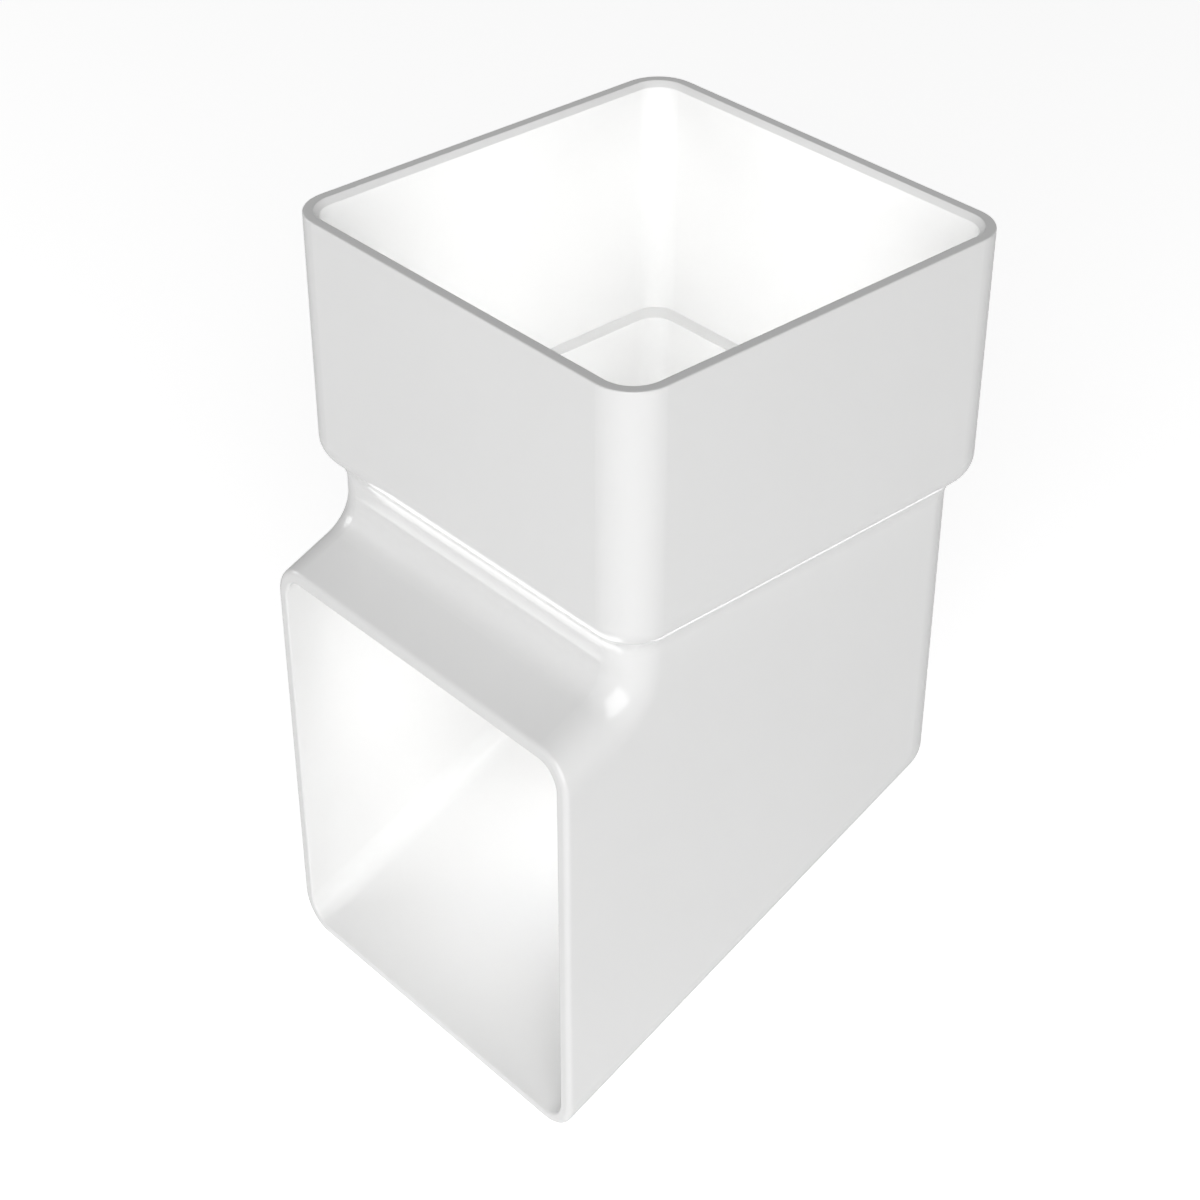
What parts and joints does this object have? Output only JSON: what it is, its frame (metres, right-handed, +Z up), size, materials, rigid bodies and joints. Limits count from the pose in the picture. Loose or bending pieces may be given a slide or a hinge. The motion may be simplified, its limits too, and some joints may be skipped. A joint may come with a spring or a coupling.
{
  "type": "downpipe shoe",
  "caption": "One-piece white plastic shoe for the foot of a square downpipe: a square socket and body that bend into a sloping outlet with an upright mouth.",
  "frame": {"origin": "on the axis of the square socket, in the plane of the pipe stop that the pipe's end rests on", "axes": "+Z up out of the socket, along the pipe; -Y out of the mouth, the way the water is thrown; X across the mouth"},
  "size_m": [0.07, 0.0782, 0.1224],
  "materials": {
    "white_upvc": "smooth semi-gloss"
  },
  "bodies": {
    "root": {"shoe": "white_upvc"}
  },
  "joints": []
}
